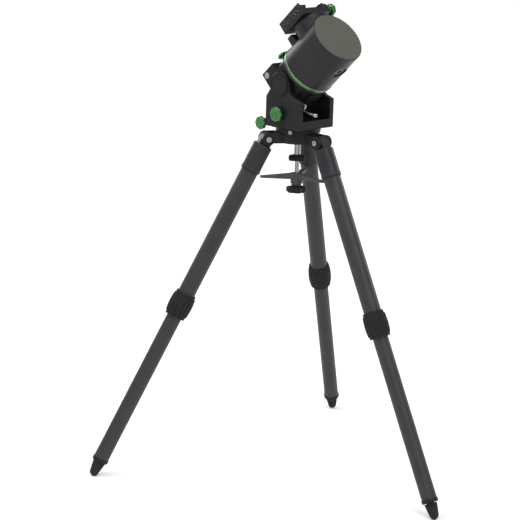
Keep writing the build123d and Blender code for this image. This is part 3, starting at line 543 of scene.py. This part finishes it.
def build_tripod_knobs():
    """The two-winged knob of the mount bolt, and the star knob under the spreader."""
    hub_radius, wing_azimuth = 11.2, radians(135)

    def wings(angle, r, height):
        if r < 10.5:
            return r
        reach = abs(cos(angle - wing_azimuth))
        return hub_radius + (r - hub_radius) * max(0.0, min(1.0, (reach - 0.45) / 0.4)) ** 0.8

    bm = bmesh.new()
    lathe(bm, rounded([
        (6.05, 0), (19.5, 0), (20.5, 4), (20.5, 9), (19, 12), (10, 12), (10, 15), (6.05, 15),
    ], 1.3, 4), 120, wings)
    knob = new_piece("mount_bolt_wing", bm, basis(TRIPOD + UP * 757, EAST, UP), PLASTIC,
                     "wing_knob", 50)
    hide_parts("wing_knob")

    bm = bmesh.new()
    lathe(bm, rounded([
        (5.3, 2), (5.3, 16.5), (10, 16.5), (10, 12.5), (22, 12.5), (24, 10.5), (24, 2.5), (22, 0),
        (13, 0), (12, 1.2), (0, 1.2), (0, 2),
    ], 1.2, 4), 144, lobes(6, 0.13, 24, 2.2))
    knob = new_piece("spreader_star_knob", bm, basis(TRIPOD + UP * 681.3, EAST, UP), PLASTIC,
                     "spreader_knob", 50)
    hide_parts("spreader_knob")


def smooth_step(t):
    """Rises smoothly from 0 to 1 as t does, and is flat outside."""
    t = max(0.0, min(1.0, t))
    return t * t * (3 - 2 * t)


def build_twist_lock(leg_name, azimuth):
    """Ribbed grip: raised pads with rounded ends and a sunk panel in each."""
    hinge, along, out = leg_directions(azimuth)
    start, end, pads, steps = 412, 473, 12, 76
    middle = (start + end) / 2
    belly, taper = 28.5, 3.1
    lip, inner = 25.3, 23.55
    pad_half_width, pad_half_length = 5.3, 18.5

    def barrel(height):
        t = (height - middle) / (end - start) * 2
        return belly - taper * t * t

    profile = [(21.3, start), (24.6, start), (lip, start + 0.8)]
    for step in range(steps + 1):
        height = start + 2 + (end - start - 4) * step / steps
        profile.append((barrel(height), height))
    profile += [(lip, end - 0.8), (24.6, end), (18.75, end), (18.75, end - 7), (inner, end - 7)]
    profile += [(inner, start + 7), (21.3, start + 7)]

    def grip(angle, radius, height):
        if radius < lip + 0.1:
            return radius
        across = (((angle * pads / tau) % 1) - 0.5) * tau * radius / pads
        beyond = max(0.0, abs(height - middle) - pad_half_length)
        edge = sqrt(across * across + beyond * beyond) - pad_half_width
        return radius - (1.7 * smooth_step((edge + 0.3) / 0.9) + 0.8 * smooth_step((-edge - 1.9) / 0.8))

    bm = bmesh.new()
    lathe(bm, profile, pads * 26, grip)
    lock = new_piece(f"grip_{leg_name}", bm, basis(hinge, out, along), GRIP,
                     f"leg_{leg_name}_lock", 40)
    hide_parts(f"leg_{leg_name}_twist_lock")


def build_foot(leg_name, azimuth):
    """Rubber foot with two grip grooves and a domed toe."""
    hinge, along, out = leg_directions(azimuth)
    top, neck, rim = 868.5, 878.5, 15.5
    profile = [(0, neck), (9, neck), (9, top), (rim - 0.6, top), (rim, top + 0.7)]
    for groove in (872, 875.5):
        wall = rim - (groove - top) * (rim - TOE_RADIUS) / (TOE_AT - top)
        profile += [(wall, groove - 0.8), (wall - 0.7, groove), (wall - 0.15, groove + 0.8)]
    profile.append((TOE_RADIUS, TOE_AT))
    for step in range(1, 9):
        angle = step / 9 * pi / 2
        profile.append((TOE_RADIUS * cos(angle), TOE_AT + TOE_RADIUS * sin(angle)))
    profile.append((0, TOE_AT + TOE_RADIUS))
    bm = bmesh.new()
    lathe(bm, profile, 48)
    foot = new_piece(f"toe_{leg_name}", bm, basis(hinge, out, along), RUBBER,
                     f"leg_{leg_name}_lower", 45)
    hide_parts(f"leg_{leg_name}_foot")


def band(bm, inner, outer, start, width, corner, steps, segments):
    """A ring of rectangular section with rounded corners."""
    end = start + width
    outline = [(inner, start), (outer, start), (outer, end), (inner, end)]
    lathe(bm, rounded(outline, corner, steps), segments)


def build_leg_trim(leg_name, azimuth):
    """A thin clamp band at the sleeve's mouth, and three fine rings round the ferrule."""
    hinge, along, out = leg_directions(azimuth)
    bm = bmesh.new()
    band(bm, 20.9, 22.6, 84.2, 2.2, 0.5, 3, 72)
    new_piece(f"sleeve_band_{leg_name}", bm, basis(hinge, out, along), PLASTIC,
              f"leg_{leg_name}")
    bm = bmesh.new()
    for ring in range(3):
        band(bm, 19.3, 19.8, 858.8 + ring * 2.4, 1.1, 0.2, 2, 72)
    new_piece(f"ferrule_rings_{leg_name}", bm, basis(hinge, out, along), BLACK,
              f"leg_{leg_name}_lower")


def build_lock_lever():
    """Cast clamping lever: a serrated hub, a tapering cranked arm and a ball grip."""
    lever_x, ball_radius, rings = 37.6, 5, 14
    bm = bmesh.new()
    line = [(58, -47, 3.6), (59, -53, 3.5), (61.5, -56.2, 3.3), (66, -57.3, 3.1), (74, -57.7, 2.9),
            (84, -58.4, 2.7), (92, -59.2, 2.7), (97, -59.7, 2.9)]
    tube(bm, [Vector((lever_x, y, z)) for y, z, radius in line], [radius for y, z, radius in line], 20)
    turns = [pi * step / rings for step in range(1, rings)]
    arc = [(ball_radius * sin(turn), -ball_radius * cos(turn)) for turn in turns]
    ball = bmesh.new()
    lathe(ball, [(0, -ball_radius), *arc, (0, ball_radius)], 32)
    merge(bm, ball, place(lever_x, 99, -59.8, (0, 1, 0)))

    def teeth(angle, r, height):
        return r - (0.35 if r > 7.5 and int(angle / tau * 48) % 2 else 0)

    hub = bmesh.new()
    outline = [(3.95, -4.5), (7, -4.5), (8, -3.5), (8, 3.5), (7, 4.5), (3.95, 4.5)]
    lathe(hub, rounded(outline, 0.5, 2), 96, teeth)
    merge(bm, hub, place(lever_x, 58, -45, (1, 0, 0)))
    matrix = Matrix.Translation(PIVOT * MM) @ Matrix.Scale(MM, 4)
    lever = new_piece("clamp_lever", bm, matrix, STEEL, "lock_lever", 45)
    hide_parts("lock_lever")


def build_neck_fillet():
    """The cast fillet where the declination neck leaves the head's barrel."""
    reach, sunk, segments = 3.2, 0.15, 96
    section = []
    for step in range(7):
        angle = step / 6 * pi / 2
        section.append((NECK_RADIUS + reach - reach * sin(angle), reach * (1 - cos(angle))))
    section += [(NECK_RADIUS - 0.6, reach), (NECK_RADIUS - 0.6, -1.2), (NECK_RADIUS + reach, -1.2)]
    bm = bmesh.new()
    rings = []
    for index in range(segments):
        angle = tau * index / segments
        ring = []
        for radius, lift in section:
            x = radius * cos(angle)
            on_barrel = sqrt(BARREL_RADIUS * BARREL_RADIUS - x * x)
            ring.append(bm.verts.new((x, radius * sin(angle), on_barrel + lift - sunk)))
        rings.append(ring)
    count = len(section)
    for index in range(segments):
        here, after = rings[index], rings[(index + 1) % segments]
        for step in range(count):
            following = (step + 1) % count
            bm.faces.new((here[step], after[step], after[following], here[following]))
    new_piece("neck_fillet", bm, basis(head_point(0, DEC_AT, 0), EAST, DECLINE), HEAD_BLACK,
              "polar_head", 60)


def build_ring_highlight():
    """A lighter green band along the front edge of the polar ring: a painted highlight of its chamfer."""
    bm = bmesh.new()
    band(bm, 64.9, 65.55, 55.0, 1.25, 0.3, 2, 160)
    new_piece("ring_highlight", bm, basis(PIVOT, EAST, POLAR), RING_HIGHLIGHT_GREEN, "carriage")


def build_screws():
    """Small fasteners, each group riding on its own body."""
    panel = basis(head_point(PANEL_FACE, 0, 0), POLAR, EAST)
    bm = bmesh.new()
    for along in (83.5, 155.5):
        for height in (86.5, 110.5):
            cap_screw(bm, place(along, height, -0.6), 1.5, 1.0)
    new_piece("panel_screws", bm, panel, DARK_STEEL, "saddle")
    floor = basis(head_point(0, 0, 99), POLAR, DECLINE)
    bm = bmesh.new()
    for along in (98, 141):
        for x in (-13, 11):
            cap_screw(bm, place(along, -x, -0.4), 3.4, 0.9, 0.45)
    new_piece("saddle_screws", bm, floor, DARK_STEEL, "saddle")
    rear = basis(yoke_point(0, -43, 0), EAST, Vector((0, -1, 0)))
    bm = bmesh.new()
    for x in (-51.5, 51.5):
        for z in (-41, -88):
            cap_screw(bm, place(x, z, -0.4), 3.2, 2.4)
    new_piece("yoke_screws", bm, rear, DARK_STEEL, "yoke")
    back = basis(head_point(0, -44, 0), EAST, -POLAR)
    bm = bmesh.new()
    for x in (-33, 33):
        for height in (-24, 34):
            cap_screw(bm, place(x, -height, -0.4), 2.6, 2.2)
    new_piece("carriage_screws", bm, back, DARK_STEEL, "carriage")


def build_panel():
    """Bezels and lights of the port panel."""
    face = basis(head_point(PANEL_FACE, 0, 0), POLAR, EAST)
    bm = bmesh.new()
    for along, width, height in ((92, 6.5, 9), (110, 10, 4)):
        outer = rectangle(along, PANEL_MIDDLE, width + 1.8, height + 1.8, 1.0)
        inner = rectangle(along, PANEL_MIDDLE, width, height, 0.4)
        prism(bm, outer, -0.3, 0.35, inner)
    for along in (131, 142.5):
        ring = bmesh.new()
        band(ring, 3.95, 5.2, -0.3, 0.8, 0.3, 2, 48)
        merge(bm, ring, place(along, PANEL_MIDDLE))
    new_piece("port_bezels", bm, face, BEZEL, "saddle")
    bm = bmesh.new()
    for along, height in ((101, 107), (121, 107), (151, PANEL_MIDDLE)):
        lens = bmesh.new()
        lathe(lens, [(0, -0.3), (1.2, -0.3), (1.2, 0.25), (0.8, 0.5), (0, 0.6)], 24)
        merge(bm, lens, place(along, height))
    new_piece("panel_lights", bm, face, RING_GREEN, "saddle")


build_head_knobs()
build_tripod_knobs()
for leg_name, azimuth in LEGS.items():
    build_twist_lock(leg_name, azimuth)
    build_foot(leg_name, azimuth)
    build_leg_trim(leg_name, azimuth)
build_lock_lever()
build_neck_fillet()
build_ring_highlight()
build_screws()
build_panel()


# ---- stage, light and camera ----
def build_stage():
    """Pale paper on the floor, wide enough to fill every view from above, and an even grey sky."""
    half_width, gap = 30, 0.0005
    floor_material, tree, shader, coordinates = surface("floor_paper", specular=0.2, roughness=0.9)
    fleck = noise(tree, coordinates, 4, 2)
    paper = mix(tree, fleck, (0.94, 0.94, 0.94), (0.95, 0.95, 0.95))
    tree.links.new(paper, shader.inputs["Base Color"])
    bm = bmesh.new()
    for x, y in ((-1, -1), (1, -1), (1, 1), (-1, 1)):
        bm.verts.new((x * half_width, y * half_width, 0))
    bm.faces.new(bm.verts)
    mesh = bpy.data.meshes.new("floor")
    bm.to_mesh(mesh)
    bm.free()
    floor = bpy.data.objects.new("floor", mesh)
    floor.location.z = -gap
    mesh.materials.append(floor_material)
    bpy.context.scene.collection.objects.link(floor)
    world = bpy.data.worlds.new("studio")
    world.use_nodes = True
    background = world.node_tree.nodes["Background"]
    background.inputs["Color"].default_value = (1, 1, 1, 1)
    background.inputs["Strength"].default_value = 0.36
    bpy.context.scene.world = world


def area_light(name, position, target, size, power):
    """A soft disc of light, for a highlight down one side."""
    data = bpy.data.lights.new(name, "AREA")
    data.shape = "DISK"
    data.size = size
    data.energy = power
    light = bpy.data.objects.new(name, data)
    light.location = position
    light.rotation_euler = (Vector(target) - Vector(position)).to_track_quat("-Z", "Y").to_euler()
    bpy.context.scene.collection.objects.link(light)


def soft_sun(name, towards, spread, strength):
    """A wide, even light from one direction, so the paper stays evenly white."""
    data = bpy.data.lights.new(name, "SUN")
    data.angle = radians(spread)
    data.energy = strength
    light = bpy.data.objects.new(name, data)
    light.rotation_euler = Vector(towards).to_track_quat("Z", "Y").to_euler()
    bpy.context.scene.collection.objects.link(light)


def build_camera():
    """Looks from the north-east and a little above, as a long lens a few metres away sees it."""
    azimuth, elevation, roll = radians(135.26), radians(13.82), radians(1.78)
    distance, across, aim_height = 4.66794, -0.07999, 0.51264
    back = Vector((sin(azimuth) * cos(elevation), -cos(azimuth) * cos(elevation), sin(elevation)))
    right = UP.cross(back).normalized()
    above = back.cross(right)
    position = Vector((0, AXIS_Y * MM, aim_height)) + right * across + back * distance
    rolled_right = right * cos(roll) + above * sin(roll)
    rolled_up = above * cos(roll) - right * sin(roll)
    turn = Matrix((rolled_right, rolled_up, back)).transposed().to_4x4()
    data = bpy.data.cameras.new("camera")
    data.sensor_width = 36
    data.lens = 135.45
    data.clip_end = 50
    camera = bpy.data.objects.new("camera", data)
    camera.matrix_world = Matrix.Translation(position) @ turn
    bpy.context.scene.collection.objects.link(camera)
    bpy.context.scene.camera = camera


build_stage()
soft_sun("key", (0.7, 2.2, 2.6), spread=45, strength=2.0)
soft_sun("fill", (1.6, -0.9, 3.4), spread=60, strength=0.95)
MIDDLE, HEAD = (0, -0.1, 0.8), (0, -0.1, 1.0)
area_light("rim_left", (-0.5, -4.2, 1.5), MIDDLE, size=2.0, power=38)
area_light("rim_right", (-4.4, 0.9, 1.7), MIDDLE, size=1.6, power=45)
area_light("top", (1.5, -0.7, 2.8), HEAD, size=0.8, power=32)
build_camera()
bpy.context.scene.view_settings.view_transform = "Standard"
